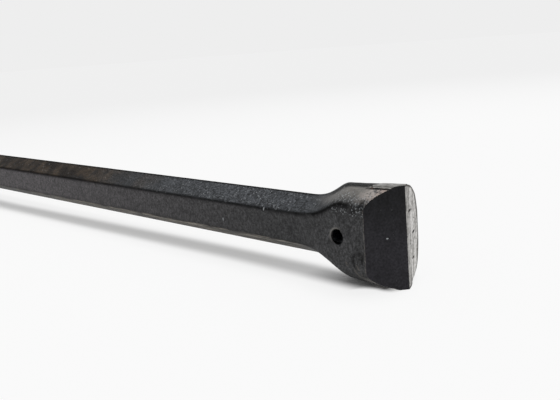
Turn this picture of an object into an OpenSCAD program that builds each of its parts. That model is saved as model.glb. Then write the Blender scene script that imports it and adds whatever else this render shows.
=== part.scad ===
// Integral drill rod: hollow hexagonal steel with a forged shank collar, a forged chisel head
// and one brazed hard-metal insert. It lies along X: the origin is the middle of the collar's
// stop face, the shank runs towards -X, the cutting edge stands upright at the +X end.

/* [Hexagonal steel] */
// Width across the flats
flats_w = 22; // [19:0.5:25]
// Radius on the rolled corners
corner_r = 1.5; // [0.8:0.1:3]
// Drilling length, from the collar's stop face to the cutting edge
drill_len = 800; // [300:10:1600]
// Diameter of the flushing bore
bore_d = 6.5; // [4:0.1:7.5]

/* [Shank] */
// Length from the striking face to the collar's stop face
shank_len = 108; // [60:1:160]
// Diameter of the striking face inside its turned chamfer
strike_d = 19; // [15:0.5:20]
// Angle of that chamfer from the striking face
strike_angle = 60; // [30:5:70]
// Diameter of the countersink at the mouth of the bore
mouth_d = 10; // [8:0.5:13]

/* [Collar] */
// Diameter of the forged collar
collar_d = 36; // [30:0.5:40]
// Width of the collar's rim
rim_w = 9; // [5:0.5:16]
// Radius on both edges of the rim
rim_r = 2; // [0.5:0.25:2.5]
// Length of the forged slope behind the rim
slope_len = 12; // [8:0.5:24]

/* [Head] */
// Gauge diameter at the cutting edge
gauge_d = 40; // [35:0.5:45]
// How far the steel stays inside the gauge at the front
relief = 0.3; // [0.1:0.05:0.8]
// Back taper of the steel, on each side
body_taper = 2; // [0:0.25:4]
// Included angle of the roof that carries the cutting edge
roof_angle = 120; // [90:1:140]
// Width of the blunted cutting edge
edge_w = 0.4; // [0.1:0.1:1]
// Where the flare reaches the full head, behind the edge
flare_end = 31; // [26:1:40]
// Length of the flare along its top and bottom
flare_len = 21; // [15:1:35]
// How much later the flare ends beside the flat
side_lag = 10; // [2:1:14]
// How much earlier it starts beside the flat
side_lead = 7; // [0:1:14]
// How late in its length the flare swells
flare_swell = 1.7; // [1:0.1:2.5]
// Distance from the axis to the foot of the roof on the flat side
flat_out = 14.4; // [13.5:0.1:17]
// Where the flat leaves the line of the hexagon, behind the edge
flat_start = 49; // [40:1:60]

/* [Flushing port] */
// Diameter of the side port
port_d = 5.5; // [3:0.1:6]
// Where the port opens on the flat, behind the edge
port_back = 24.2; // [22:0.1:30]
// Lean of the port towards the cutting edge
port_lean = 33; // [0:1:45]

/* [Insert] */
// Thickness of the insert
insert_t = 9; // [6:0.5:12]
// Height of the insert, from its seat to the cutting edge
insert_h = 14.5; // [12:0.5:20]
// Chamfer along the two edges of its foot
foot_chamfer = 2.5; // [0.5:0.25:3]
// Width of the flat ground on its two gauge ends
end_flat = 6.4; // [3:0.2:8]
// How far the shoulders beside that flat fall towards the insert's faces
end_fall = 0.4; // [0:0.1:0.8]
// Back taper of the two ends
end_taper = 2.6; // [0:0.2:4]
// Thickness of the brazed joint round it
braze_t = 0.25; // [0.1:0.05:0.4]

/* [Hidden] */
half_flats = flats_w/2;
// From the axis to the middle of each rolled corner
corner_mid = (half_flats - corner_r)/cos(30);
// Polar angle at which a rolled corner runs out into its flats
corner_span = atan(corner_r*sin(30)/(corner_mid + corner_r*cos(30)));
far = gauge_d;
steel_r = gauge_d/2 - relief;
roof_slope = 1/tan(roof_angle/2);
// The forging stands this far outside the rolled hexagon where it starts
skin = 0.05;
// The flat starts on the line of the hexagon's face, just clear of that skin
flat_in = half_flats + 2*skin;
flat_rise = (flat_out - flat_in)/(flat_start - flat_out*roof_slope);
port_out = flat_in + flat_rise*(flat_start - port_back);
// Where the port's axis meets the rod's axis, behind the edge
port_meet = port_back + port_out*tan(port_lean);
// Fine rows along the flare, and the directions of the points in each row
rows = 20;
face_steps = [corner_span/3, corner_span, 11, 20, 30, 40, 49, 60 - corner_span, 60 - corner_span/3];
ring_angles = [for (sector = [0:5]) for (step = face_steps) 60*sector + step];

function smooth(u) = let (c = min(max(u, 0), 1)) c*c*(3 - 2*c);

// Points of a round stretch, about a centre, from one angle to another
function arc_points(centre, r, from, to, steps) =
    [for (i = [0:steps]) let (a = from + (to - from)*i/steps) centre + r*[cos(a), sin(a)]];

// Radius of the hexagon in a direction, measured from a corner, with its rolled corners
function hex_r(angle) =
    let (off = angle - 60*round(angle/60),
         on_corner = corner_mid*cos(off) + sqrt(max(pow(corner_r, 2) - pow(corner_mid*sin(off), 2), 0)))
    abs(off) <= corner_span + 0.001 ? on_corner : half_flats/cos(30 - abs(off));

// How much a direction belongs to the flat side: 0 over the top and away from it, 1 beside it
function flat_side(angle) =
    let (turn = angle > 180 ? angle - 360 : angle,
         tilt = abs(turn) <= 90 ? abs(turn) : 180 - abs(turn),
         side = turn >= 0 ? tilt : -tilt)
    smooth((side + 10)/35);

// Radius of the forging in a direction, at a distance behind the edge
function forged_r(angle, back) =
    let (share = flat_side(angle),
         start = flare_end + flare_len + side_lead*share,
         end = flare_end - side_lag*share,
         run = min(max((start - back)/(start - end), 0), 1),
         rolled = hex_r(angle) + skin,
         full = steel_r - back*tan(body_taper))
    rolled + (full - rolled)*smooth(pow(run, flare_swell));

// Places what is drawn in a plane across the rod, and gives it length
module along_x(from, to) {
    translate([from, 0, 0])
        rotate([90, 0, 90])
            linear_extrude(height = to - from)
                children();
}

// Turns a profile about the rod's axis: its x is the radius, its y the place along the rod
module turned_x() {
    rotate([0, 90, 0])
        rotate_extrude($fn = 96)
            children();
}

// Stands what is drawn in plan upright through the head
module upright() {
    translate([drill_len, 0, 0])
        linear_extrude(height = 2*far, center = true)
            children();
}

module hex_section() {
    polygon([for (corner = [0:5])
        for (step = [-corner_span, -corner_span/3, corner_span/3, corner_span])
            let (a = 60*corner + step) hex_r(a)*[-sin(a), cos(a)]]);
}

// Plain hexagon, with the striking end turned to a chamfer
module bar() {
    bar_end = drill_len - flare_end;
    widest = half_flats/cos(30) + 1;
    chamfer_len = (widest - strike_d/2)/tan(strike_angle);
    intersection() {
        along_x(-shank_len, bar_end) hex_section();
        turned_x() polygon([
            [0, -shank_len],
            [strike_d/2, -shank_len],
            [widest, -shank_len + chamfer_len],
            [widest, bar_end + 1],
            [0, bar_end + 1]
        ]);
    }
}

// Forged collar: square to the shank in front, sloping into the hexagon behind
module collar() {
    rim = collar_d/2;
    foot = half_flats - 1;
    turned_x() polygon(concat(
        [[0, 0]],
        arc_points([rim - rim_r, rim_r], rim_r, -90, 0, 4),
        arc_points([rim - rim_r, rim_w - rim_r], rim_r, 0, 60, 3),
        [[foot, rim_w + slope_len], [0, rim_w + slope_len]]
    ));
}

// Flare and head in one loft: rows of points from the hexagon to past the cutting edge
module flare() {
    foot = flare_end + flare_len + side_lead;
    front = flare_end - side_lag;
    backs = concat([for (i = [0:rows]) foot + (front - foot)*i/rows], [-1]);
    n = len(ring_angles);
    last = len(backs) - 1;
    points = [for (back = backs) for (a = ring_angles)
        let (r = forged_r(a, back)) [drill_len - back, -r*sin(a), r*cos(a)]];
    sides = [for (row = [0:last - 1]) for (i = [0:n - 1])
        let (a = row*n + i, b = row*n + (i + 1)%n)
            each [[a, a + n, b], [b, a + n, b + n]]];
    ends = [[for (i = [0:n - 1]) i], [for (i = [n - 1:-1:0]) last*n + i]];
    polyhedron(points, concat(sides, ends), convexity = 4);
}

// What the flat takes off the side of the head
module flat_cut() {
    foot = -flare_end - flare_len - side_lead - 2;
    upright() polygon([
        [foot, -flat_in],
        [-flat_start, -flat_in],
        [2, -flat_in - flat_rise*(flat_start + 2)],
        [2, -far],
        [foot, -far]
    ]);
}

// Everything behind the two ground faces of the roof and the blunted edge between them
module roof() {
    upright() polygon([
        [0, -edge_w/2],
        [0, edge_w/2],
        [-(far - edge_w/2)*roof_slope, far],
        [-3*far, far],
        [-3*far, -far],
        [-(far - edge_w/2)*roof_slope, -far]
    ]);
}

// Plan of the insert, or of its slot with the joint's thickness added
module insert_plan(gap, front) {
    side = insert_t/2 + gap;
    foot = -insert_h - gap;
    polygon([
        [front, -side],
        [front, side],
        [foot + foot_chamfer, side],
        [foot, side - foot_chamfer],
        [foot, -side + foot_chamfer],
        [foot + foot_chamfer, -side]
    ]);
}

module flushing_bore() {
    point_len = bore_d/2/tan(59);
    blind = drill_len - port_meet + bore_d/2;
    mouth_len = (mouth_d - bore_d)/2;
    turned_x() polygon([
        [0, -shank_len - 1],
        [mouth_d/2 + 1, -shank_len - 1],
        [bore_d/2, -shank_len + mouth_len],
        [bore_d/2, blind],
        [0, blind + point_len]
    ]);
}

module side_port() {
    translate([drill_len - port_meet, 0, 0])
        rotate([90, 0, 0])
            rotate([0, port_lean, 0])
                cylinder(h = far, d = port_d, $fn = 48);
}

// Everything inside the taper that the steel's gauge side follows, less a small depth
module steel_gauge(depth) {
    front_r = steel_r - depth;
    turned_x() polygon([
        [0, drill_len - far],
        [front_r - far*tan(body_taper), drill_len - far],
        [front_r, drill_len],
        [0, drill_len]
    ]);
}

// Seen from the front, the insert's plate between its two ground ends, at some distance behind the edge
module end_outline(back) {
    top = gauge_d/2 - back*tan(end_taper);
    side = insert_t/2;
    polygon([
        [-side, end_fall - top],
        [-end_flat/2, -top],
        [end_flat/2, -top],
        [side, end_fall - top],
        [side, top - end_fall],
        [end_flat/2, top],
        [-end_flat/2, top],
        [-side, top - end_fall]
    ]);
}

// The whole plate, from its seat to past the cutting edge, with both ends tapered back
module ground_plate() {
    sliver = 0.01;
    hull() {
        along_x(drill_len - sliver, drill_len) end_outline(0);
        along_x(drill_len - insert_h, drill_len - insert_h + sliver) end_outline(insert_h);
    }
}

module drill_steel() {
    color([0.17, 0.17, 0.18]) difference() {
        union() {
            bar();
            collar();
            intersection() {
                difference() {
                    flare();
                    flat_cut();
                }
                roof();
            }
        }
        upright() insert_plan(braze_t, 2);
        flushing_bore();
        side_port();
    }
}

module carbide_insert() {
    color([0.62, 0.61, 0.59]) intersection() {
        upright() insert_plan(0, 0);
        ground_plate();
        roof();
    }
}

module braze_seam() {
    color([0.72, 0.5, 0.38]) intersection() {
        upright() difference() {
            insert_plan(braze_t, 2);
            insert_plan(0, 3);
        }
        steel_gauge(2*skin);
        roof();
    }
}

drill_steel();
carbide_insert();
braze_seam();
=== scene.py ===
import math

import bmesh
import bpy
import numpy as np
from mathutils import Matrix, Vector, noise


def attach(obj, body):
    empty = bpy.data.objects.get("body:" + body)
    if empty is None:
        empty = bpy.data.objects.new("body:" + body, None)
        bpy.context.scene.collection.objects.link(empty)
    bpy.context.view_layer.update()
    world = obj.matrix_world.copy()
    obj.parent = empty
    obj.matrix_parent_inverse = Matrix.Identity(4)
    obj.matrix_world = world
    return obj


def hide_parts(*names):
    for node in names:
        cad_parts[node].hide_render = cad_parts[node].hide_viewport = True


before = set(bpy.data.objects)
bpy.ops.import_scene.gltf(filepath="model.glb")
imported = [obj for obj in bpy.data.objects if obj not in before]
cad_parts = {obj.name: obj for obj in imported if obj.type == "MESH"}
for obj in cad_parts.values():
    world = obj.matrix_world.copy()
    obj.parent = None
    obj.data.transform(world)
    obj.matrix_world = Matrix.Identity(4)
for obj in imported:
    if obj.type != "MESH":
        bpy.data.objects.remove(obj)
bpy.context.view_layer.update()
mm = 0.001


# The studio: the photograph's camera, a white floor, a soft key from above and behind, a dim white room

photoCamera = {
    "place": (1.00416, -0.23062, 0.07309),
    "right": (0.6483, 0.7580, -0.0713),
    "down": (0.0902, -0.1695, -0.9814),
    "forward": (-0.7560, 0.6298, -0.1783),
    "focalPixels": 835.0,
    "imageWidth": 560.0,
}

studio = {
    "floorHeight": -0.020,
    "floorSize": 40.0,
    "floorColour": "#fbfbfb",
    # How much of the paper's own white the eye sees: most on the open floor, less along the middle of the
    # bar's shadow, none under the head. Places are in metres
    "openGlow": 0.88,
    "shadowGlow": 0.36,
    "shadowRun": (0.45, 0.70),  # along the bar
    "shadowMiddle": (-0.0120, -0.0035),  # how far its shadow's middle lies to the side there
    "shadowWidth": (0.0020, 0.0125),
    "footStart": (0.748, 0.774),
    "footNarrows": (0.782, 0.790),
    "footNarrowing": 2.2,
    "footEnd": (0.792, 0.799),
    "strikeEnd": (-0.113, -0.125),
    "floorCentre": (0.90, 0.25, 0.0),
    "floorFade": (0.40, 1.70),
    "floorGlow": (0.956, 0.855),
    "roomStrength": 0.45,
    "wallGlow": (0.855, 0.22),  # what the eye sees of the room near the floor, and overhead
    "ceilingRise": (0.12, 0.50),  # sine of the height angle at which the room turns to its dim ceiling
    "sunStrength": 1.74,
    "sunSpread": 30.0,
    "sunFrom": (0.0, 0.28, 0.96),
}


def toLinear(hexColour):
    parts = [int(hexColour[i:i + 2], 16) / 255.0 for i in (1, 3, 5)]
    return tuple(p / 12.92 if p <= 0.04045 else ((p + 0.055) / 1.055) ** 2.4 for p in parts) + (1.0,)


def addNode(tree, kind, inputs=None, **settings):
    # A node or socket is linked, hex text is a colour, and a "From" or "To" pair fills two sockets
    node = tree.nodes.new("ShaderNode" + kind)
    for name, value in settings.items():
        setattr(node, name, value)
    given = dict(inputs or {})
    for ends in ("From", "To"):
        if ends in given:
            given[ends + " Min"], given[ends + " Max"] = given.pop(ends)
    for key, value in given.items():
        socket = node.inputs[key] if isinstance(key, int) else next(
            s for s in node.inputs if s.enabled and s.name == key)
        if isinstance(value, bpy.types.Node):
            value = next(s for s in value.outputs if s.enabled)
        if isinstance(value, bpy.types.NodeSocket):
            tree.links.new(value, socket)
        else:
            socket.default_value = toLinear(value) if isinstance(value, str) else value
    return node


def newTree(name):
    finish = bpy.data.materials.new(name)
    finish.use_nodes = True
    finish.node_tree.nodes.clear()
    return finish, finish.node_tree


def newShape(name, points, faces):
    shape = bpy.data.meshes.new(name)
    shape.from_pydata(points, [], faces)
    return shape


def inScene(name, data):
    thing = bpy.data.objects.new(name, data)
    bpy.context.scene.collection.objects.link(thing)
    return thing


def standing(place, way, up):
    return Matrix.Translation(place) @ way.to_track_quat("Z", up).to_matrix().to_4x4()


def buildCamera():
    view = bpy.data.cameras.new("photoCamera")
    view.sensor_width = 36.0
    view.lens = photoCamera["focalPixels"] / photoCamera["imageWidth"] * view.sensor_width
    view.clip_start = 0.01
    holder = inScene("photoCamera", view)
    right, down, forward = (Vector(photoCamera[k]).normalized() for k in ("right", "down", "forward"))
    turn = Matrix((right, -down, -forward)).transposed()
    holder.matrix_world = Matrix.Translation(photoCamera["place"]) @ turn.to_4x4()
    bpy.context.scene.camera = holder
    bpy.context.scene.view_settings.view_transform = "Standard"


def seenRays(tree):
    # 1 where the eye, a reflection or glass looks, 0 for the light that falls on things
    rays = addNode(tree, "LightPath").outputs
    seen = addNode(tree, "Math", {0: rays["Is Camera Ray"], 1: rays["Is Glossy Ray"]}, operation="MAXIMUM")
    return addNode(tree, "Math", {0: seen, 1: rays["Is Transmission Ray"]}, operation="MAXIMUM")


def whitePaper():
    # Matte paper, whose own glow keeps it white to the eye and lets the bar's shadow through
    paper, tree = newTree("whitePaper")
    place = addNode(tree, "TexCoord").outputs["Object"]
    away = addNode(tree, "VectorMath", {0: place, 1: studio["floorCentre"]}, operation="DISTANCE")
    fade = addNode(tree, "MapRange", {
        "Value": away.outputs["Value"], "From": studio["floorFade"], "To": studio["floorGlow"]},
        interpolation_type="SMOOTHSTEP")
    matte = addNode(tree, "BsdfDiffuse", {"Color": studio["floorColour"]})
    glow = addNode(tree, "Emission", {"Strength": fade})
    split = addNode(tree, "SeparateXYZ", {0: place}).outputs
    middle = addNode(tree, "MapRange", {
        "Value": split["X"], "From": studio["shadowRun"], "To": studio["shadowMiddle"]})
    apart = addNode(tree, "Math", {0: split["Y"], 1: middle}, operation="SUBTRACT")
    apart = addNode(tree, "Math", {0: apart}, operation="ABSOLUTE")
    narrows = addNode(tree, "MapRange", {
        "Value": split["X"], "From": studio["footNarrows"], "To": (1.0, studio["footNarrowing"])})
    apart = addNode(tree, "Math", {0: apart, 1: narrows}, operation="MULTIPLY")
    beside = addNode(tree, "MapRange", {"Value": apart, "From": studio["shadowWidth"]},
                     interpolation_type="SMOOTHSTEP")
    inShadow = addNode(tree, "MapRange", {
        "Value": split["X"], "From": studio["footStart"], "To": (studio["shadowGlow"], 0.0)})
    for end in ("footEnd", "strikeEnd"):
        beyond = addNode(tree, "MapRange", {
            "Value": split["X"], "From": studio[end], "To": (0.0, studio["openGlow"])})
        inShadow = addNode(tree, "Math", {0: inShadow, 1: beyond}, operation="MAXIMUM")
    share = addNode(tree, "Mix", {"Factor": beside, "A": inShadow, "B": studio["openGlow"]})
    share = addNode(tree, "Math", {0: seenRays(tree), 1: share}, operation="MULTIPLY")
    both = addNode(tree, "MixShader", {0: share, 1: matte, 2: glow})
    addNode(tree, "OutputMaterial", {"Surface": both})
    return paper


def buildFloor():
    half = studio["floorSize"] / 2
    corners = [(x, y, 0.0) for x in (-half, half) for y in (-half, half)]
    sheet = newShape("paperFloor", corners, [(0, 2, 3, 1)])
    sheet.materials.append(whitePaper())
    floor = inScene("paperFloor", sheet)
    floor.location.z = studio["floorHeight"]


def buildRoom():
    room = bpy.data.worlds.new("whiteRoom")
    bpy.context.scene.world = room
    room.use_nodes = True
    tree = room.node_tree
    tree.nodes.clear()
    toward = addNode(tree, "TexCoord").outputs["Generated"]
    height = addNode(tree, "SeparateXYZ", {0: toward}).outputs["Z"]
    wall = addNode(tree, "MapRange", {
        "Value": height, "From": studio["ceilingRise"], "To": studio["wallGlow"]},
        interpolation_type="SMOOTHSTEP")
    strength = addNode(tree, "Mix", {"Factor": seenRays(tree), "A": studio["roomStrength"], "B": wall})
    glow = addNode(tree, "Background", {"Color": "#ffffff", "Strength": strength})
    addNode(tree, "OutputWorld", {"Surface": glow})

    sun = bpy.data.lights.new("softKey", "SUN")
    sun.energy = studio["sunStrength"]
    sun.angle = math.radians(studio["sunSpread"])
    inScene("softKey", sun).matrix_world = standing((0, 0, 0), Vector(studio["sunFrom"]), "Y")


buildCamera()
buildFloor()
buildRoom()
print("camera and studio ready")


# The steel's outer shape, worked out in millimetres

bar = {
    "flats": 22.0,
    "cornerRadius": 1.5,
    "drillLength": 800.0,
    "shankLength": 108.0,
    "bore": 6.5,
    "boreEnd": 770.53,
    "borePointAngle": 59.0,
    "mouth": 10.0,
    "strikeFace": 19.0,
    "faceRims": (0.2, 0.3),  # rings beside the mouth and the chamfer, which keep the face flat
    "strikeAngle": 60.0,
    "chamferRows": (0, 2, 9),  # from, to, how many
    "flatSteps": 28,
    "boreRows": 24,
    "shankRows": 32,
    "barRows": 190,
    # How far the rolled faces wander, and the waves of it: size, share and seed
    "shankUneven": 0.01,
    "uneven": 0.035,
    "waves": [(9.0, 1.0, 3.0), (3.5, 0.5, 8.0)],
}

collar = {
    "across": 36.0,
    "rim": 9.0,
    "rimRadius": 2.0,
    "slope": 12.0,
    "foot": 10.0,
    "footBlend": 1.6,
    "faceRings": (13.2, 14.2, 15.2),
    "runOut": 3.0,
    "slopeRows": 22,
    "uneven": 0.05,
}

head = {
    "gauge": 40.0,
    "relief": 0.3,
    "bodyTaper": 2.0,
    "roofHalfAngle": 60.0,
    "edge": 0.4,
    "flareEnd": 31.0,
    "flareLength": 21.0,
    "sideLag": 10.0,
    "sideLead": 7.0,
    "sideTurn": (-10, 25),  # degrees past upright over which the far side's flare turns into the near side's
    "swell": 1.7,
    "flatOut": 14.4,
    "flatStart": 49.0,
    "flatReach": 0.05,  # sine of the angle from which a ring point can lie on the flat
    "flatBlend": 1.5,
    "blendRun": (58, 44),
    "leastBlend": 0.02,
    "rowStep": 0.42,
    "uneven": 0.10,  # more than the bar's own, from the forging
    "unevenRun": (58, 38),
    # The far side is less round: degrees down from the top, and millimetres off the circle
    "farForm": [(0, 0.0), (12, 0.2), (38, 0.8), (48, 1.2), (56, 0.9), (64, 0.4), (74, 0.0), (84, -0.8),
                (94, -0.8), (104, -0.3), (116, 0.3), (126, 0.9), (134, 1.3), (141, 1.0), (150, 0.2),
                (158, -0.5), (166, -0.6), (173, -0.2), (180, 0.0)],
    "farFormRun": (26.0, 14.0),
    # Forging marks on the near flat: strength, and a run of (behind the edge, height) in millimetres
    "dents": [
        (0.80, [(15.0, -10.4), (15.6, -7.4), (14.2, -5.2), (11.6, -4.6), (10.1, -5.9), (10.5, -8.6)]),
        (1.0, [(10.7, 14.7), (9.9, 12.9)]),
        (1.0, [(10.0, 15.0), (9.2, 13.2)]),
        (0.9, [(18.6, 12.2), (17.2, 12.9)]),
        (0.9, [(14.6, 10.9), (13.4, 11.6)]),
    ],
    "marked": ((30, 170), 24),  # degrees, and millimetres behind the edge
    "dentWidth": 0.75,
    "dentDepth": 0.30,
    "scratches": [
        (1.0, [(15.0, -11.6), (12.6, -13.9), (9.2, -15.2), (6.4, -15.9)]),
        (1.0, [(13.4, -9.9), (10.9, -13.2)]),
        (1.0, [(19.9, -9.2), (18.6, -10.6)]),
    ],
    "scratchWidth": 0.35,
    # The rolled corners are painted dark as shade behind the flare, by degrees round the bar
    "cornerDark": ((20, 40, 80, 100, 140, 160, 320, 340), (1.7, 0.85, 0.85, 0.3, 0.3, 0.85, 0.85, 1.7)),
    "cornerWidth": 4.0,
    "cornerRun": (36, 48),
    # The crease above the flat is painted dark as shade, with a softer painted shade spread to one side of it
    "creaseWidth": 0.75,
    "creaseShade": 1.8,
    "shadeStrength": 0.45,
    "shadeRun": (42, 34),
    "creaseStart": (13, 21),
    "creaseEnd": (56, 46),
    "creaseLowest": (63, 90),  # degrees from the top at which it stops, at both ends of the next run
    "creaseDrops": (40.5, 32.5),
    "creaseFade": 6,
}

port = {
    "bore": 5.5,
    "back": 24.2,
    "lean": 33.0,
    "deep": 40,
    "sides": 72,
    "lipRings": [(-1.2, -0.6), (-0.5, 0.0), (0.0, 0.3), (0.4, 1.0)],  # height over the flat, past the bore
}

insert = {
    "thickness": 9.0,
    "height": 14.5,
    "footChamfer": 2.5,
    "endFlat": 6.4,
    "endFall": 0.4,
    "endTaper": 2.6,
    "joint": 0.25,
    "wornEdge": 0.18,
    "faceStep": 1.3,
    "worn": [(1.6, 0.02), (0.7, 0.015)],  # waves on its faces: size and depth
}

outOfReach = 1e3  # farther than anything on the rod
roofSlope = 1 / math.tan(math.radians(head["roofHalfAngle"]))
steelRadius = head["gauge"] / 2 - head["relief"]
halfFlats = bar["flats"] / 2
cornerMid = (halfFlats - bar["cornerRadius"]) / math.cos(math.radians(30))
cornerSpan = math.degrees(math.atan2(bar["cornerRadius"] * 0.5,
                                     cornerMid + bar["cornerRadius"] * math.cos(math.radians(30))))
flatRise = (head["flatOut"] - halfFlats) / (head["flatStart"] - head["flatOut"] * roofSlope)


def smooth(share):
    share = np.clip(share, 0, 1)
    return share * share * (3 - 2 * share)


def rises(value, span):
    return smooth((value - span[0]) / (span[1] - span[0]))


def ringDirections():
    # Degrees from +Z towards -Y, close together on the rolled corners
    corner = [0, cornerSpan / 3, 2 * cornerSpan / 3]
    flat = list(np.linspace(cornerSpan, 60 - cornerSpan, bar["flatSteps"]))
    sector = np.array(corner + flat + [60 - c for c in corner[:0:-1]])
    return np.concatenate([sector + 60 * k for k in range(6)])


def offCorner(angle):
    return np.abs(angle - 60 * np.round(angle / 60))


def hexRadius(angle):
    off = offCorner(angle)
    rolled = cornerMid * np.cos(np.radians(off)) + np.sqrt(np.maximum(
        bar["cornerRadius"] ** 2 - (cornerMid * np.sin(np.radians(off))) ** 2, 0))
    return np.where(off <= cornerSpan + 0.001, rolled, halfFlats / np.cos(np.radians(30 - off)))


def flatSide(angle):
    turn = np.where(angle > 180, angle - 360, angle)
    tilt = np.where(np.abs(turn) <= 90, np.abs(turn), 180 - np.abs(turn))
    return rises(np.where(turn >= 0, tilt, -tilt), head["sideTurn"])


def softLower(first, second, width):
    share = np.clip(0.5 + 0.5 * (second - first) / width, 0, 1)
    return second * (1 - share) + first * share - width * share * (1 - share)


def taperedRadius(back):
    return steelRadius - back * math.tan(math.radians(head["bodyTaper"]))


def flatPlace(back):
    return halfFlats + flatRise * max(head["flatStart"] - back, 0)


def swollenRadius(angle, back):
    share = flatSide(angle)
    start = head["flareEnd"] + head["flareLength"] + head["sideLead"] * share
    end = head["flareEnd"] - head["sideLag"] * share
    run = np.clip((start - back) / (start - end), 0, 1)
    rolled = hexRadius(angle)
    uneven = np.interp(360 - angle, *zip(*head["farForm"]))
    full = taperedRadius(back) + uneven * rises(back, head["farFormRun"])
    return rolled + (full - rolled) * smooth(run ** head["swell"])


def forgedRadius(angle, back):
    swollen = swollenRadius(angle, back)
    sideways = np.sin(np.radians(angle))
    reach = head["flatReach"]
    toFlat = np.where(sideways > reach, flatPlace(back) / np.maximum(sideways, reach), outOfReach)
    blend = head["flatBlend"] * rises(back, head["blendRun"]) + head["leastBlend"]
    return softLower(swollen, toFlat, blend)


def inRuns(runs, width, back, height):
    # How deep each ring point lies in runs of (back, height) points that are this wide
    deepest = np.zeros_like(height)
    for strength, run in runs:
        away = np.full_like(height, outOfReach)
        for (a, b), (c, d) in zip(run, run[1:]):
            length = (c - a) ** 2 + (d - b) ** 2
            along = np.clip(((back - a) * (c - a) + (height - b) * (d - b)) / length, 0, 1)
            away = np.minimum(away, np.hypot(back - a - along * (c - a), height - b - along * (d - b)))
        deepest = np.maximum(deepest, strength * np.exp(-(away / width) ** 2))
    return deepest


def headMarks(angle, back, radius):
    # How far each ring point lies in a dent, a scratch, and the painted shade of the corners and crease, 0 to
    # 1
    height = radius * np.cos(np.radians(angle))
    (first, last), depth = head["marked"]
    near = (angle > first) & (angle < last) & (back < depth)
    dent = inRuns(head["dents"], head["dentWidth"], back, height) * near
    scratch = inRuns(head["scratches"], head["scratchWidth"], back, height) * near
    dark = np.interp(angle, *head["cornerDark"]) * np.exp(-(offCorner(angle) / head["cornerWidth"]) ** 2)
    rolled = np.minimum(dark, 1) * rises(back, head["cornerRun"])
    sideways = np.maximum(np.sin(np.radians(angle)), 0)
    apart = swollenRadius(angle, back) * sideways - flatPlace(back)
    fold = np.exp(-(apart / head["creaseWidth"]) ** 2)
    spread = np.exp(-(apart / head["creaseShade"]) ** 2)
    spread = head["shadeStrength"] * spread * rises(back, head["shadeRun"])
    fold = np.where(apart < 0, np.maximum(fold, spread), fold)
    first, last = head["creaseLowest"]
    lowest = first + (last - first) * rises(back, head["creaseDrops"])
    fold = fold * smooth((lowest - angle) / head["creaseFade"])
    fold = fold * (rises(back, head["creaseStart"]) * rises(back, head["creaseEnd"]))
    return dent, scratch, np.maximum(rolled, fold)


def collarRows():
    # (place, radius) along the collar's stop face, rim and forged slope
    rim, turn = collar["across"] / 2, collar["rimRadius"]
    rows = [(0.0, r) for r in collar["faceRings"]]
    rows += [(turn * (1 - math.sin(t)), rim - turn * (1 - math.cos(t)))
             for t in np.radians([90, 72, 54, 36, 18, 0])]
    rows += [(x, rim) for x in np.linspace(turn, collar["rim"] - turn, 7)[1:-1]]
    rows += [(collar["rim"] - turn * (1 - math.sin(t)), rim - turn * (1 - math.cos(t)))
             for t in np.radians([0, 15, 30, 45, 60])]
    lastX, lastR = rows[-1]
    foot = collar["rim"] + collar["slope"]
    fall = (lastR - collar["foot"]) / (foot - lastX)
    places = np.linspace(lastX, foot + collar["runOut"], collar["slopeRows"])[1:]
    rows += [(x, lastR - fall * (x - lastX)) for x in places]
    return rows


def hammered(points, size, seed):
    return np.array([noise.noise(Vector(p) / size + Vector((seed, 0, 0))) for p in points])


def steelRows():
    # (place, radius at each direction, how uneven), from the end of the bore out and round to the head
    angles = ringDirections()
    rolled = hexRadius(angles)
    circle = np.ones_like(angles)
    strike = -bar["shankLength"]
    mouthDepth = (bar["mouth"] - bar["bore"]) / 2
    boreRun = np.linspace(bar["boreEnd"], strike + mouthDepth, bar["boreRows"])
    rows = [(x, circle * bar["bore"] / 2, 0.0) for x in boreRun]
    inner, outer = bar["faceRims"]
    for radius in (bar["mouth"] / 2, bar["mouth"] / 2 + inner, bar["strikeFace"] / 2 - outer):
        rows.append((strike, circle * radius, 0.0))
    steep = math.tan(math.radians(bar["strikeAngle"]))
    for step in np.linspace(*bar["chamferRows"]):
        rows.append((strike + step, np.minimum(rolled, bar["strikeFace"] / 2 + step * steep), 0.0))
    for x in np.linspace(strike + 3, -0.5, bar["shankRows"]):
        rows.append((x, rolled, bar["shankUneven"]))
    rows.append((0.0, rolled, 0.0))
    for x, radius in collarRows():
        rows.append((x, -softLower(-rolled, -circle * radius, collar["footBlend"]), collar["uneven"]))
    barStart = rows[-1][0] + 2.0
    flareStart = bar["drillLength"] - head["flareEnd"] - head["flareLength"] - head["sideLead"] - 1
    for x in np.linspace(barStart, flareStart, bar["barRows"]):
        rows.append((x, rolled, bar["uneven"]))
    count = int((bar["drillLength"] + 1 - flareStart) / head["rowStep"])
    for x in np.linspace(flareStart, bar["drillLength"] + 1, count)[1:]:
        back = bar["drillLength"] - x
        uneven = bar["uneven"] + head["uneven"] * rises(back, head["unevenRun"])
        rows.append((x, forgedRadius(angles, back), uneven))
    return angles, rows


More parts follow.
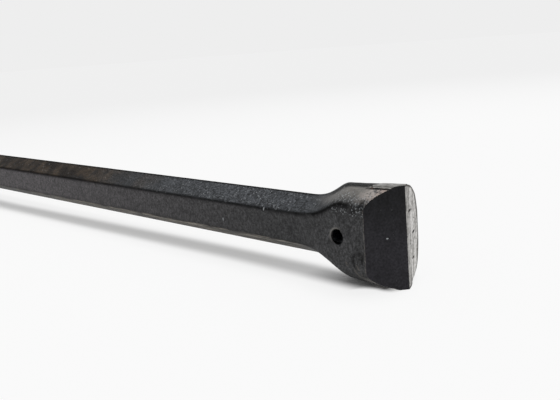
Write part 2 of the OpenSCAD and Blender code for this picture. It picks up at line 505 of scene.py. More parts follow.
def loftSteel():
    angles, rows = steelRows()
    sine, cosine = np.sin(np.radians(angles)), np.cos(np.radians(angles))
    n = len(angles)
    # From the point of the drilled bore, ring by ring, to a tip beyond the cutting edge
    boreTip = bar["boreEnd"] + bar["bore"] / 2 / math.tan(math.radians(bar["borePointAngle"]))
    points = [(boreTip, 0.0, 0.0)]
    # The corner mark is painted shade on the rolled corners and in the crease
    marks = {"dent": [0.0], "scratch": [0.0], "corner": [0.0]}
    for x, radius, uneven in rows:
        dent = scratch = corner = np.zeros(n)
        if uneven:
            ring = np.stack([np.full(n, x), -radius * sine, radius * cosine], axis=1)
            dent, scratch, corner = headMarks(angles, bar["drillLength"] - x, radius)
            wave = sum(share * hammered(ring, size, seed) for size, share, seed in bar["waves"])
            radius = radius + uneven * wave - head["dentDepth"] * dent
        ring = np.stack([np.full(n, x), -radius * sine, radius * cosine], axis=1)
        points.extend(map(tuple, ring))
        for name, values in zip(marks, (dent, scratch, corner)):
            marks[name].extend(values)
    points.append((bar["drillLength"] + 1, 0.0, 0.0))
    faces = [(0, 1 + (j + 1) % n, 1 + j) for j in range(n)]
    for i in range(len(rows) - 1):
        low, high = 1 + i * n, 1 + (i + 1) * n
        faces += [(low + j, low + (j + 1) % n, high + (j + 1) % n, high + j) for j in range(n)]
    last, tip = 1 + (len(rows) - 1) * n, len(points) - 1
    faces += [(last + j, last + (j + 1) % n, tip) for j in range(n)]
    shape = newShape("forgedSteel", [tuple(c * mm for c in p) for p in points], faces)
    for name, values in marks.items():
        shape.attributes.new(name, "FLOAT", "POINT").data.foreach_set("value", values + [0.0])
    return inScene("forgedSteel", shape)


def closedForm(name, points, faces):
    shape = newShape(name, points, faces)
    form = bmesh.new()
    form.from_mesh(shape)
    bmesh.ops.recalc_face_normals(form, faces=form.faces)
    form.to_mesh(shape)
    form.free()
    return inScene(name, shape)


def tubeFaces(n, rings):
    # Rings of n points, one after the other, closed at both ends
    faces = [tuple(range(n))[::-1], tuple(range((rings - 1) * n, rings * n))]
    for low in range(0, (rings - 1) * n, n):
        faces += [(low + k, low + (k + 1) % n, low + n + (k + 1) % n, low + n + k) for k in range(n)]
    return faces


def uprightCutter(name, outline):
    # A prism with this plan, in millimetres ahead of the cutting edge, standing through the head
    reach = head["gauge"]
    points = [((bar["drillLength"] + x) * mm, y * mm, z * mm) for z in (-reach, reach) for x, y in outline]
    return closedForm(name, points, tubeFaces(len(outline), 2))


def roundCutter(name, rings, place):
    # Rings of (height, radius) about the Z axis of a matrix
    n = port["sides"]
    turns = [2 * math.pi * k / n for k in range(n)]
    points = [place @ Vector((r * math.cos(t) * mm, r * math.sin(t) * mm, h * mm))
              for h, r in rings for t in turns]
    return closedForm(name, [tuple(p) for p in points], tubeFaces(n, len(rings)))


def slotPlan(gap, front):
    # The insert's plan with a gap round it: near and far front corner, then its foot from far to near
    side = insert["thickness"] / 2 + gap
    foot = -insert["height"] - gap
    chamfer = insert["footChamfer"]
    return [(front, -side), (front, side), (foot + chamfer, side), (foot, side - chamfer),
            (foot, chamfer - side), (foot + chamfer, -side)]


def headCutters():
    far = head["gauge"]
    blunt = head["edge"] / 2
    beyondRoof = [(0, -blunt), (0, blunt), (-(far - blunt) * roofSlope, far), (far, far),
                  (far, -far), (-(far - blunt) * roofSlope, -far)]
    lean = math.radians(port["lean"])
    portOut = flatPlace(port["back"])
    meet = port["back"] + portOut * math.tan(lean)
    axis = Vector((math.sin(lean), -math.cos(lean), 0))
    drill = standing(((bar["drillLength"] - meet) * mm, 0, 0), axis, "Y")
    outward = Vector((math.sin(math.atan(flatRise)), -math.cos(math.atan(flatRise)), 0))
    stretch = Matrix.Diagonal((1.0, 1 / math.cos(lean), 1.0, 1.0))
    mouth = standing(((bar["drillLength"] - port["back"]) * mm, -portOut * mm, 0), outward, "X") @ stretch
    radius = port["bore"] / 2
    return [
        uprightCutter("beyondRoof", beyondRoof),
        uprightCutter("insertSlot", slotPlan(insert["joint"], 2)),
        roundCutter("portDrill", [(0, radius), (port["deep"], radius)], drill),
        roundCutter("portLip", [(height, radius + past) for height, past in port["lipRings"]], mouth),
    ]


def carve(body, cutters):
    for cutter in cutters:
        cut = body.modifiers.new(cutter.name, "BOOLEAN")
        cut.object = cutter
        cut.operation = "DIFFERENCE"
        cut.solver = "EXACT"
    shape = bpy.data.meshes.new_from_object(body.evaluated_get(bpy.context.evaluated_depsgraph_get()))
    body.modifiers.clear()
    body.data = shape
    for cutter in cutters:
        bpy.data.objects.remove(cutter)


def shade(piece, sharpAngle):
    shape = piece.data
    shape.polygons.foreach_set("use_smooth", [True] * len(shape.polygons))
    shape.set_sharp_from_angle(angle=math.radians(sharpAngle))
    shape.update()


forgedSteel = loftSteel()
carve(forgedSteel, headCutters())
shade(forgedSteel, 32)
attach(forgedSteel, "root")
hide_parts("drill_steel")
print("steel forged:", len(forgedSteel.data.polygons), "faces")


# The insert: a sintered plate, cut from a block by the planes of its faces

def insertPlanes():
    front = bar["drillLength"]
    side = insert["thickness"] / 2
    top = head["gauge"] / 2
    flat, fall = insert["endFlat"] / 2, insert["endFall"]
    tilt = math.radians(insert["endTaper"])
    roof = math.radians(head["roofHalfAngle"])
    planes = [((front, 0, 0), (1, 0, 0)), ((front - insert["height"], 0, 0), (-1, 0, 0))]
    for s in (-1, 1):
        planes.append(((front, s * side, 0), (0, s, 0)))
        planes.append(((front, s * head["edge"] / 2, 0), (math.sin(roof), s * math.cos(roof), 0)))
        planes.append(((front - insert["height"] + insert["footChamfer"], s * side, 0), (-1, s, 0)))
        planes.append(((front, 0, s * top), (-math.sin(tilt), 0, s * math.cos(tilt))))
        for t in (-1, 1):
            fallAngle = math.atan2(fall, side - flat)
            planes.append(((front, t * flat, s * top),
                           (-math.sin(tilt), t * math.sin(fallAngle), s * math.cos(fallAngle))))
    return planes


def cutBlock(planes, centre, size):
    form = bmesh.new()
    bmesh.ops.create_cube(form, size=size, matrix=Matrix.Translation(centre))
    for place, normal in planes:
        cut = bmesh.ops.bisect_plane(form, geom=form.verts[:] + form.edges[:] + form.faces[:],
                                     plane_co=[c * mm for c in place], plane_no=normal, clear_outer=True)
        rim = [g for g in cut["geom_cut"] if isinstance(g, bmesh.types.BMEdge)]
        if rim:
            bmesh.ops.contextual_create(form, geom=rim)
    bmesh.ops.recalc_face_normals(form, faces=form.faces)
    return form


def buildInsert():
    centre = ((bar["drillLength"] - insert["height"] / 2) * mm, 0, 0)
    form = cutBlock(insertPlanes(), centre, 1.5 * head["gauge"] * mm)
    form.normal_update()
    # All edges but those of the two faces that the braze holds
    worn = [e for e in form.edges if max(abs(f.normal.y) for f in e.link_faces) < 0.95]
    bmesh.ops.bevel(form, geom=worn, offset=insert["wornEdge"] * mm, segments=2, profile=0.5,
                    affect="EDGES", clamp_overlap=True)
    for _ in range(5):
        long = [e for e in form.edges if e.calc_length() > insert["faceStep"] * mm]
        if not long:
            break
        bmesh.ops.subdivide_edges(form, edges=long, cuts=1, use_grid_fill=True)
    bmesh.ops.triangulate(form, faces=[f for f in form.faces if len(f.verts) > 4])
    for v in form.verts:
        wear = sum(noise.noise(v.co / (size * mm)) * depth for size, depth in insert["worn"])
        v.co += v.normal * wear * mm
    shape = bpy.data.meshes.new("insertPlate")
    form.to_mesh(shape)
    form.free()
    plate = inScene("insertPlate", shape)
    shade(plate, 40)
    return plate


insertPlate = buildInsert()
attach(insertPlate, "root")
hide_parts("carbide_insert")
print("insert cut:", len(insertPlate.data.polygons), "faces")


# The braze: a thin U between insert and slot, with an uneven bead where it comes out at both ends

braze = {
    "step": 0.5,
    "deep": 1.5,
    # The bead's height and width: its size, the least share of it, how much and how fast it varies, and seed
    "bead": [(0.32, 0.7, 0.5, 0.31, (0, 4.0)), (0.5, 0.6, 0.9, 0.23, (7.0, 0))],
    "leastWidth": 0.05,
    "crown": (0.12, 0.85),  # beside the insert, at this share of the height
    "slope": (0.5, 0.3),  # shares of the width and height
    "toe": (0.12, 0.35),  # under the head's surface, at the bead's edge and in the slot
}


def brazePath():
    # Pairs of plan points, (insert side, slot side), from the near roof face round the foot to the far one
    inner, outer = slotPlan(0, 0), slotPlan(insert["joint"], 0)
    order = [5, 4, 3, 2]  # the near side, the foot, the far side
    half = insert["thickness"] / 2

    def roofPoint(y):
        return (-(abs(y) - head["edge"] / 2) * roofSlope, y)

    first, last = ((roofPoint(s * half), roofPoint(s * (half + insert["joint"]))) for s in (-1, 1))
    corners = [first, *((inner[k], outer[k]) for k in order), last]
    pairs = []
    for (a, b), (c, d) in zip(corners, corners[1:]):
        steps = max(int(math.dist(a, c) / braze["step"]), 1)
        for k in range(steps):
            t = k / steps
            pairs.append((Vector(a).lerp(Vector(c), t), Vector(b).lerp(Vector(d), t)))
    pairs.append((Vector(corners[-1][0]), Vector(corners[-1][1])))
    return pairs


def buildBraze():
    pairs = brazePath()
    (crownOut, crownUp), (slopeOut, slopeUp), (toe, root) = braze["crown"], braze["slope"], braze["toe"]
    rings = []
    for k, (inside, outside) in enumerate(pairs):
        away = (outside - inside).normalized()
        height = math.sqrt(max(taperedRadius(-outside.x) ** 2 - outside.y ** 2, 0))
        lift, run = (size * (least + varies * noise.noise(Vector((k * pace, *seed))))
                     for size, least, varies, pace, seed in braze["bead"])
        run = max(run, braze["leastWidth"]) * (0.0 if k in (0, len(pairs) - 1) else 1.0)
        levels = [(inside, height - braze["deep"]), (inside, height + lift),
                  (inside + away * crownOut, height + lift * crownUp),
                  (outside + away * run * slopeOut, height + lift * slopeUp),
                  (outside + away * run, height - toe), (outside, height - root),
                  (outside, height - braze["deep"])]
        rings.append([Vector((bar["drillLength"] + p.x, p.y, s * z))
                      for s in (1, -1) for p, z in levels[::s]])
    points = [tuple(c * mm for c in p) for ring in rings for p in ring]
    bead = closedForm("brazeBead", points, tubeFaces(len(rings[0]), len(rings)))
    shade(bead, 50)
    return bead


brazeBead = buildBraze()
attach(brazeBead, "root")
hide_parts("braze_seam")
print("braze laid:", len(brazeBead.data.polygons), "faces")


# Finishes

# A pattern is its size along x, y and z in millimetres, its detail and its roughness. A share is the product
# of ramps, (what it reads, its span, its ends), and of shares named before it. A ramp goes from 0 to 1 over
# its span unless it names other ends, and the places it reads are in millimetres

lacquer = {
    "body": "#39393a",  # on the upright faces by the head
    "farBody": "#4e4b4d",  # and along the bar
    "dusty": "#3f4144",
    "oily": "#17110c",
    "oilyCloud": "#3a3128",
    "under": "#474138",
    "farUnder": "#26231e",
    "rubbedCorner": "#a39d92",
    # Near black: painted shade on the corners, crease and far top of the head; also the dents and the port's
    # mouth
    "corner": "#030303",
    # Pale grey painted sheen, on the near side of the head's top and round the port
    "paintedSheen": "#8a8782",
    "fleck": "#b6babd",
    "scratch": "#8c8378",
    "bareEdge": "#8c8984",
    "edgeRust": "#7b706a",
    "residue": "#a8a19c",
    "residuePink": "#ae9f97",
    "specular": 0.10,
    "cornerDulls": 0.40,
    "relief": (0.8, 0.22),  # strength, and depth in millimetres
    "marks": ("dent", "scratch", "corner"),
    "patterns": {
        "grain": (0.95, 0.95, 0.95, 3.0, 0.75),  # about 0.3 mm in the lacquer, drawn coarser so that it shows
        "cloud": (16.0, 16.0, 16.0, 3.0, 0.6),  # oil
        "blotch": (3.8, 3.8, 3.8, 5.0, 0.6),  # thick and thin lacquer
        "scale": (1.5, 1.5, 1.5, 4.0, 0.7),  # forging scale
        "streaks": (14.0, 2.2, 2.2, 3.0, 0.7),  # drawn out along the bar by the rolls
        "patch": (1.6, 1.6, 1.6, 5.0, 0.75),  # braze residue
    },
    "flecks": {"size": 0.80, "fade": (0.15, 0.50), "most": 0.85},
    "fleckPale": (0.25, 1),
    "oilWanders": -100.0,  # how far the clouds move the oil's edge along the bar
    "bandDrops": ((766, 782), (0, -2.6)),  # the band of painted sheen lies lower towards the head
    "ringFaces": (-0.5, 0.0, 0.5),  # the painted highlight round the port is lightest above and behind it
    "shares": {
        "facesUp": [("up", (0.25, 0.60))],
        "onBar": [("x", (760, 735))],
        "facesDown": ["onBar", ("up", (-0.45, -0.75))],
        "alongBar": [("x", (740, 500))],
        "farther": [("x", (530, 440))],
        "forged": [("x", (750, 772))],
        # Oil is clouded near the head and even towards the shank
        "cloudy": [("cloud", (0.42, 0.58))],
        "settled": [("x", (460, 320), (0, 0.75))],
        "soaked": [("oilPlace", (600, 500))],
        # What the patterns take from the light or add to it; forging scale is coarser than the grain
        "grainy": [("grain", (0.32, 0.68), (0.32, 1.78))],
        "gritty": [("grain", (0.35, 0.66), (0.2, 2.3))],
        "drawn": [("streaks", (0.42, 0.58), (0.05, 1.95))],
        "mottled": [("blotch", (0.35, 0.65), (0.75, 1.25))],
        "scaly": [("scale", (0.36, 0.64), (0.62, 1.42))],
        # Painted shade on the forged head: darker towards its top, and darker low down and on faces turned
        # down
        "paintedShadeHigh": [("z", (6, 12), (1.08, 0.66))],
        "lowest": [("z", (-18, -13.5), (0.35, 1))],
        "turnedDown": [("up", (-0.55, -0.25), (0.35, 1))],
        # Dragging has rubbed the lower corners of the bar to a thin broken light line
        "dragged": ["facesDown", ("streaks", (0.48, 0.60), (0, 0.70)), ("z", (-9.2, -8.2)),
                    ("z", (-5.9, -6.3)), ("x", (480, 640), (0.25, 1))],
        # The top of the flare has a painted sheen on its near side and painted shade on its far side
        "paintedSheen": [("x", (744, 756)), ("x", (791, 786)), ("bandHeight", (10.5, 13.5)), ("y", (-1.0, -4.5)),
                    ("z", (15.5, 17.8), (0.46, 0.76)), ("scale", (0.35, 0.65), (0.72, 1.10))],
        # Painted shade on the far side of the head's top
        "paintedShadeFarTop": [("y", (-5, -3)), ("x", (756, 766)), ("x", (785.6, 785)), ("z", (12, 14))],
        # Dust lies in flecks on the upper faces near the head, and thickest on the flare's scaly shoulder
        "dusted": ["onBar", "facesUp", ("x", (620, 720), (0.02, 0.22))],
        "shoulder": [("z", (9, 10.5), (0, 0.75)), ("z", (18, 16.2)), ("x", (768, 776)), ("x", (796, 792))],
        # Braze residue, pinkish and patchy, lies beside the insert on the top of the head and a little on the
        # underside, and dark flux along the joint
        "ragged": [("blotch", (0.36, 0.50), (0.70, 1))],
        "patchy": [("patch", (0.43, 0.57))],
        "onEnd": [("aloft", (13.5, 16.5))],
        "brazed": ["onEnd", ("back", (16, 11)), ("patch", (0.37, 0.52)), ("z", (-5, 5), (0.12, 1))],
        "pink": [("back", (8.5, 5))],
        "fluxed": ["onEnd", "ragged", ("aside", (3.9, 4.3)), ("aside", (6.0, 5.2)), ("back", (1.0, 1.5)),
                   ("back", (15.7, 14.9))],
        # The marks that were laid into the mesh; the corner mark is painted shade on the rolled corners and
        # crease
        "creased": ["corner", "ragged"],
        "dented": ["dent", ("patchy", (0, 1), (0.55, 1))],
        "bared": ["scratch", ("patchy", (0, 1), (0, 0.40))],
        # Just round the port's mouth the lip is dark; further out the worn lip has a ring of painted
        # highlight, lightest above and behind it
        "onFlat": [("y", (-10.5, -11))],
        "thick": ["onFlat", ("fromPort", (1.20, 1.08))],
        "ring": ["onFlat", ("fromPort", (1.50, 1.18), (0, 0.85)), ("abovePort", (0, 2), (0, 2))],
        # Along the arris where the roof was ground it is rubbed to a thin light and rusty line
        "arris": [("depth", (0.60, 0.10)), ("scale", (0.44, 0.60), (0.06, 0.70)),
                  ("z", (-15, -10.5), (0.25, 1))],
        "satin": [("grain", (0.3, 0.7), (0.41, 0.57))],
    },
    # Tones that are blended from two others: name, share, first, second
    "blends": [
        ("upright", "alongBar", "body", "farBody"),
        ("oilyTop", "stained", "oily", "oilyCloud"),
        ("upper", "soaked", "dusty", "oilyTop"),
        ("lower", "farther", "under", "farUnder"),
        ("upperHalf", "facesUp", "upright", "upper"),
        ("allRound", "facesDown", "upperHalf", "lower"),
        ("brazeFilm", "pink", "residue", "residuePink"),
        ("rustyLine", "cloudy", "bareEdge", "edgeRust"),
    ],
    "speckFade": (0.6, 1.2),
    # Bare specks: place, half widths along x, y and z in millimetres, and how bare
    "specks": [
        ((699.0, -11.0, -1.8), (0.45, 0.90, 0.8), 0.55),
        ((729.0, -10.6, 5.9), (0.4, 0.8, 0.8), 0.8),
    ],
}

nearRoof = {
    "low": "#2d2c30",
    "high": "#1e1e20",
    "relief": (0.20, 0.10),
    "patterns": {
        "grain": (0.8, 0.8, 0.8, 3.0, 0.6),  # drawn coarser here too
        "blotch": (4.8, 4.8, 4.8, 3.0, 0.5),
    },
    "shares": {
        "rise": [("z", (-4, 16))],
        "mottled": [("grain", (0.3, 0.7), (0.55, 1.45)), ("blotch", (0.35, 0.65), (0.85, 1.15))],
        "satin": [("blotch", (0.3, 0.7), (0.31, 0.43))],
    },
    "dots": {"size": 1.4, "often": 0.035, "fade": (0.10, 0.25), "most": 0.05},
    "specks": [
        ((796.2, -6.8, 0.6), (0.30, 0.60, 0.28), 0.8),
        ((797.3, -4.8, 11.3), (0.18, 0.36, 0.18), 0.12),
    ],
}

boundless = 1e6  # a size so large that what is measured along it doesn't count

farRoof = {
    "steel": "#d0cecb",
    "carbide": "#c4c2be",
    "streak": "#878480",
    # Near black: painted shade inside the pits
    "paintedPitShade": "#151312",
    "rim": "#3d3834",
    "relief": (0.35, 0.06),
    # The wheel's lines are about 0.1 mm apart and are drawn at 2.2 mm so that they show
    "patterns": {
        "lines": (2.2, 2.2, 9.0, 2.0, 0.7),
        "grit": (2.2, 2.2, 1.1, 3.0, 0.7),
    },
    # The rim runs round an oval, pushed out towards the head's two blunt corners, where the product of the
    # distances from its middle planes is large
    "rimOval": (boundless, 17.4, 19.5),
    "rimCorners": ((120, 240), (0, 0.10)),
    "shares": {
        "worn": [("wheel", (0.84, 1.10))],
        "edgeward": [("aside", (1, 6), (0.74, 1))],
        "rimmed": [("outward", (0.985, 1.005)), ("depth", (0.2, 0.1), (0, 0.80))],
        "satin": [("wheel", (0.7, 1.3), (0.50, 0.32))],
    },
    "dots": {"size": 1.9, "often": 0.10, "fade": (0.10, 0.20), "most": 0.7},
    # Pits: (behind the edge, height) and radius, in millimetres
    "pits": [((3.0, 9.3), 0.48), ((5.7, -0.1), 0.50), ((4.6, -9.9), 0.42), ((6.6, 5.0), 0.20),
             ((2.2, -3.4), 0.18)],
    "pitFade": (0.7, 1.3),  # shares of the radius
    "pitLength": 1 / 0.45,  # over the height
    "pitDeep": -2.0,
}

copper = {
    "bright": "#8f7567",
    "dull": "#5d4f48",
    "flux": "#0d0c0c",
    "patterns": {
        "patch": (1.3, 1.3, 1.3, 4.0, 0.65),
        "stain": (0.4, 0.4, 0.4, 2.0, 0.5),
    },
    "shares": {"fluxed": [("patch", (0.36, 0.46))]},
    "roughness": 0.55,
    "specular": 0.2,
    "relief": (0.5, 0.3),
}


def readPlaces(tree, finish):
    # What a finish can read at a point: its place, how it faces, how far it lies behind the edge, beside the
    # head's middle planes and behind its roof, the marks in the mesh, and the patterns
    given = addNode(tree, "TexCoord").outputs
    place = addNode(tree, "VectorMath", {0: given["Object"], "Scale": 1 / mm}, operation="SCALE")
    split = addNode(tree, "SeparateXYZ", {0: place}).outputs
    at = {"place": place, "x": split["X"], "y": split["Y"], "z": split["Z"]}
    at["up"] = addNode(tree, "SeparateXYZ", {0: given["Normal"]}).outputs["Z"]
    at["back"] = addNode(tree, "Math", {0: bar["drillLength"], 1: at["x"]}, operation="SUBTRACT")
    at["aside"] = addNode(tree, "Math", {0: at["y"]}, operation="ABSOLUTE")
    at["aloft"] = addNode(tree, "Math", {0: at["z"]}, operation="ABSOLUTE")
    at["depth"] = addNode(tree, "Math", {0: at["aside"], 1: -roofSlope, 2: at["back"]},
                          operation="MULTIPLY_ADD")
    for name in finish.get("marks", ()):
        at[name] = addNode(tree, "Attribute", attribute_name=name).outputs["Fac"]
    for name, (*size, detail, roughness) in finish["patterns"].items():
        drawn = addNode(tree, "VectorMath", {0: place, 1: size}, operation="DIVIDE")
        at[name] = addNode(tree, "TexNoise", {
            "Vector": drawn, "Scale": 1.0, "Detail": detail, "Roughness": roughness})
    return at


def addShares(tree, at, shares):
    for name, parts in shares.items():
        product = None
        for part in parts:
            if isinstance(part, str):
                share = at[part]
            else:
                read, span, ends = part if len(part) == 3 else (*part, (0.0, 1.0))
                share = addNode(tree, "MapRange", {"Value": at[read], "From": span, "To": ends})
            product = share if product is None else addNode(
                tree, "Math", {0: product, 1: share}, operation="MULTIPLY")
        at[name] = product


def awayFrom(tree, at, centre, size):
    # The way from a centre to each point, and its length, in multiples of a size along x, y and z
    way = addNode(tree, "VectorMath", {0: at["place"], 1: centre}, operation="SUBTRACT")
    way = addNode(tree, "VectorMath", {0: way, 1: size}, operation="DIVIDE")
    return way, addNode(tree, "VectorMath", {0: way}, operation="LENGTH").outputs["Value"]


def scattered(tree, at, size, often, fade, most):
    # Round dots in some cells of a pattern, strongest in their middle, and a second draw for each cell
    drawn = addNode(tree, "VectorMath", {0: at["place"], "Scale": 1 / size}, operation="SCALE")
    cells = addNode(tree, "TexVoronoi", {"Vector": drawn, "Scale": 1.0}).outputs
    draws = addNode(tree, "SeparateXYZ", {0: cells["Color"]}).outputs
    chosen = addNode(tree, "Math", {0: draws["X"], 1: often}, operation="LESS_THAN")
    dot = addNode(tree, "MapRange", {"Value": cells["Distance"], "From": fade, "To": (most, 0.0)})
    return addNode(tree, "Math", {0: chosen, 1: dot}, operation="MULTIPLY"), draws["Y"]


def addSpecks(tree, at, tone, specks):
    for centre, size, bareness in specks:
        away = awayFrom(tree, at, centre, size)[1]
        speck = addNode(tree, "MapRange", {
            "Value": away, "From": lacquer["speckFade"], "To": (bareness, 0.0)})
        tone = addNode(tree, "Mix", {"Factor": speck, "A": tone, "B": lacquer["fleck"]}, data_type="RGBA")
    return tone


def closeTree(tree, height, relief, sockets):
    strength, depth = relief
    bump = addNode(tree, "Bump", {"Height": height, "Strength": strength, "Distance": depth * mm})
    shader = addNode(tree, "BsdfPrincipled", {**sockets, "Normal": bump})
    addNode(tree, "OutputMaterial", {"Surface": shader})


def blackDipLacquer():
    # Bitumen lacquer, dipped over rolled and forged scale: near black and satin. It takes dust on the upper
    # faces, soaks brown with oil towards the shank, and is rubbed off along the edge of the head. Painted
    # shade darkens its rolled corners, the crease, the forged head's top and underside and the far side of
    # its top, and a painted sheen lightens the near side of the head's top and a ring round the port
    finish, tree = newTree("blackDipLacquer")
    at = readPlaces(tree, lacquer)
    at["oilPlace"] = addNode(tree, "Math", {0: at["cloud"], 1: lacquer["oilWanders"], 2: at["x"]},
                             operation="MULTIPLY_ADD")
    run, drop = lacquer["bandDrops"]
    lower = addNode(tree, "MapRange", {"Value": at["x"], "From": run, "To": drop})
    at["bandHeight"] = addNode(tree, "Math", {0: at["z"], 1: lower}, operation="ADD")
    halfLong = port["bore"] / 2 / math.cos(math.radians(port["lean"]))
    way, at["fromPort"] = awayFrom(tree, at, (bar["drillLength"] - port["back"], 0.0, 0.0),
                                   (halfLong, boundless, port["bore"] / 2))
    at["abovePort"] = addNode(tree, "VectorMath", {0: way, 1: lacquer["ringFaces"]},
                              operation="DOT_PRODUCT").outputs["Value"]
    addShares(tree, at, lacquer["shares"])
    at["stained"] = addNode(tree, "Mix", {"Factor": at["settled"], "A": at["cloudy"], "B": 0.5})
    tones = dict(lacquer)
    for name, share, first, second in lacquer["blends"]:
        tones[name] = addNode(tree, "Mix", {
            "Factor": at[share], "A": tones[first], "B": tones[second]}, data_type="RGBA")

    shadeBy = at["grainy"]
    for share, pattern in (("facesUp", "gritty"), ("facesDown", "drawn")):
        shadeBy = addNode(tree, "Mix", {"Factor": at[share], "A": shadeBy, "B": at[pattern]})
    shadeBy = addNode(tree, "Math", {0: shadeBy, 1: at["mottled"]}, operation="MULTIPLY")
    # Painted shade on the forged head, towards its top, low down and on faces turned down
    shadowed = addNode(tree, "Math", {0: at["lowest"], 1: at["turnedDown"]}, operation="MINIMUM")
    shadowed = addNode(tree, "Math", {0: at["paintedShadeHigh"], 1: shadowed}, operation="MULTIPLY")
    for forging in (at["scaly"], shadowed):
        forging = addNode(tree, "Mix", {"Factor": at["forged"], "A": 1.0, "B": forging})
        shadeBy = addNode(tree, "Math", {0: shadeBy, 1: forging}, operation="MULTIPLY")
    tone = addNode(tree, "VectorMath", {0: tones["allRound"], "Scale": shadeBy}, operation="SCALE")

    # Painted shade on the rolled corners and in the crease, and the dark of the dents
    dark = addNode(tree, "Math", {0: at["creased"], 1: at["dented"]}, operation="MAXIMUM")
    often = addNode(tree, "Math", {0: at["dusted"], 1: at["shoulder"]}, operation="MAXIMUM")
    fleck, draw = scattered(tree, at, often=often, **lacquer["flecks"])
    pale = addNode(tree, "MapRange", {"Value": draw, "To": lacquer["fleckPale"]})
    clear = addNode(tree, "Math", {0: 1.0, 1: dark}, operation="SUBTRACT")
    for share in (pale, clear):
        fleck = addNode(tree, "Math", {0: fleck, 1: share}, operation="MULTIPLY")
    # The sheen and the ring round the port are painted highlight; the far top, crease and rolled corners
    # painted shade
    for share, colour in (
            (at["dragged"], lacquer["rubbedCorner"]), (at["paintedSheen"], lacquer["paintedSheen"]),
            (at["paintedShadeFarTop"], lacquer["corner"]), (at["brazed"], tones["brazeFilm"]),
            (at["fluxed"], copper["flux"]), (dark, lacquer["corner"]), (at["bared"], lacquer["scratch"]),
            (fleck, lacquer["fleck"]), (at["ring"], lacquer["paintedSheen"]), (at["thick"], lacquer["corner"]),
            (at["arris"], tones["rustyLine"])):
        tone = addNode(tree, "Mix", {"Factor": share, "A": tone, "B": colour}, data_type="RGBA")
    tone = addSpecks(tree, at, tone, lacquer["specks"])

    rough = addNode(tree, "Math", {0: dark, 1: lacquer["cornerDulls"], 2: at["satin"]},
                    operation="MULTIPLY_ADD")
    peel = addNode(tree, "Math", {0: at["scale"], 1: at["forged"], 2: at["grain"]}, operation="MULTIPLY_ADD")
    closeTree(tree, peel, lacquer["relief"], {
        "Base Color": tone, "Roughness": rough, "Specular IOR Level": lacquer["specular"]})
    return finish


def lacqueredGround():
    # The same lacquer over the wheel-ground near roof face, smooth and very dark, with a few fine specks
    finish, tree = newTree("lacqueredGround")
    at = readPlaces(tree, nearRoof)
    addShares(tree, at, nearRoof["shares"])
    tone = addNode(tree, "Mix", {"Factor": at["rise"], "A": nearRoof["low"], "B": nearRoof["high"]},
                   data_type="RGBA")
    tone = addNode(tree, "VectorMath", {0: tone, "Scale": at["mottled"]}, operation="SCALE")
    dot = scattered(tree, at, **nearRoof["dots"])[0]
    tone = addNode(tree, "Mix", {"Factor": dot, "A": tone, "B": lacquer["fleck"]}, data_type="RGBA")
    tone = addSpecks(tree, at, tone, nearRoof["specks"])
    closeTree(tree, at["grain"], nearRoof["relief"], {
        "Base Color": tone, "Roughness": at["satin"], "Specular IOR Level": lacquer["specular"]})
    return finish


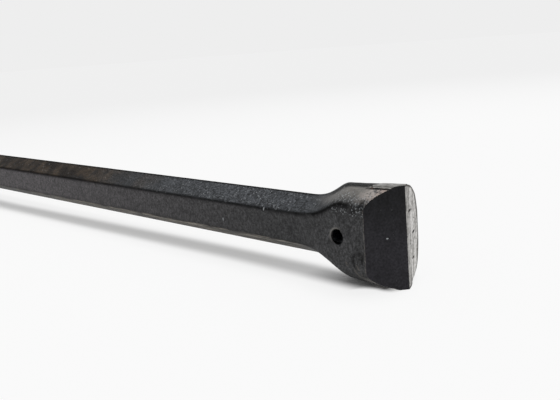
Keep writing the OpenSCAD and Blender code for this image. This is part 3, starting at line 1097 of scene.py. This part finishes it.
def groundMetal(name, colour):
    # Wheel-ground metal: pale grey and satin, with the wheel's lines down the head, a few pits painted near
    # black as the shade inside them, and a darker rim where the lacquer begins. Pits and rim are matte and
    # not bare metal
    finish, tree = newTree(name)
    at = readPlaces(tree, farRoof)
    at["wheel"] = addNode(tree, "Math", {0: at["lines"], 1: at["grit"]}, operation="ADD")
    slanting = addNode(tree, "Math", {0: at["aside"], 1: at["aloft"]}, operation="MULTIPLY")
    span, push = farRoof["rimCorners"]
    lift = addNode(tree, "MapRange", {"Value": slanting, "From": span, "To": push})
    reach = awayFrom(tree, at, (0.0, 0.0, 0.0), farRoof["rimOval"])[1]
    at["outward"] = addNode(tree, "Math", {0: reach, 1: lift}, operation="SUBTRACT")
    addShares(tree, at, farRoof["shares"])
    # The pits, scattered and listed, are painted near black as the shade inside them
    pitted = scattered(tree, at, **farRoof["dots"])[0]
    for (back, height), radius in farRoof["pits"]:
        away = awayFrom(tree, at, (bar["drillLength"] - back, 0.0, height),
                        (radius * farRoof["pitLength"], boundless, radius))[1]
        hole = addNode(tree, "MapRange", {"Value": away, "From": farRoof["pitFade"], "To": (1.0, 0.0)})
        pitted = addNode(tree, "Math", {0: pitted, 1: hole}, operation="MAXIMUM")

    tone = addNode(tree, "Mix", {"Factor": at["worn"], "A": farRoof["streak"], "B": colour}, data_type="RGBA")
    tone = addNode(tree, "VectorMath", {0: tone, "Scale": at["edgeward"]}, operation="SCALE")
    for share, mark in ((at["rimmed"], "rim"), (pitted, "paintedPitShade")):
        tone = addNode(tree, "Mix", {"Factor": share, "A": tone, "B": farRoof[mark]}, data_type="RGBA")
    marked = addNode(tree, "Math", {0: pitted, 1: at["rimmed"]}, operation="MAXIMUM")
    metallic = addNode(tree, "Math", {0: 1.0, 1: marked}, operation="SUBTRACT")
    rough = addNode(tree, "Mix", {"Factor": marked, "A": at["satin"], "B": 1.0})
    wheelMarks = addNode(tree, "Math", {0: pitted, 1: farRoof["pitDeep"], 2: at["wheel"]},
                         operation="MULTIPLY_ADD")
    closeTree(tree, wheelMarks, farRoof["relief"], {
        "Base Color": tone, "Metallic": metallic, "Roughness": rough})
    return finish


def copperBraze():
    # Copper braze, run in by the torch: pinkish metal in patches between glassy dark flux
    finish, tree = newTree("copperBraze")
    at = readPlaces(tree, copper)
    addShares(tree, at, copper["shares"])
    tone = addNode(tree, "Mix", {"Factor": at["stain"], "A": copper["bright"], "B": copper["dull"]},
                   data_type="RGBA")
    tone = addNode(tree, "Mix", {"Factor": at["fluxed"], "A": tone, "B": copper["flux"]}, data_type="RGBA")
    metallic = addNode(tree, "Math", {0: 1.0, 1: at["fluxed"]}, operation="SUBTRACT")
    closeTree(tree, at["patch"], copper["relief"], {
        "Base Color": tone, "Metallic": metallic, "Roughness": copper["roughness"],
        "Specular IOR Level": copper["specular"]})
    return finish


def roofSide(middle):
    # -1 on the near roof face, 1 on the far one, 0 anywhere else
    depth = bar["drillLength"] - middle.x - abs(middle.y) * roofSlope
    return 0 if depth > 0.05 else (1 if middle.y > 0 else -1)


def giveFinishes(piece, body, far, near):
    # One finish a face, by whether it lies on a ground roof face and on which
    piece.data.materials.clear()
    for finish in (body, far, near):
        piece.data.materials.append(finish)
    for face in piece.data.polygons:
        face.material_index = roofSide(face.center / mm) % 3


coat = blackDipLacquer()
darkRoof = lacqueredGround()
groundSteel = groundMetal("groundSteel", farRoof["steel"])
groundCarbide = groundMetal("groundCarbide", farRoof["carbide"])
brazeCopper = copperBraze()
giveFinishes(forgedSteel, coat, groundSteel, darkRoof)
giveFinishes(insertPlate, groundCarbide, groundCarbide, darkRoof)
giveFinishes(brazeBead, brazeCopper, brazeCopper, darkRoof)
print("finishes on")
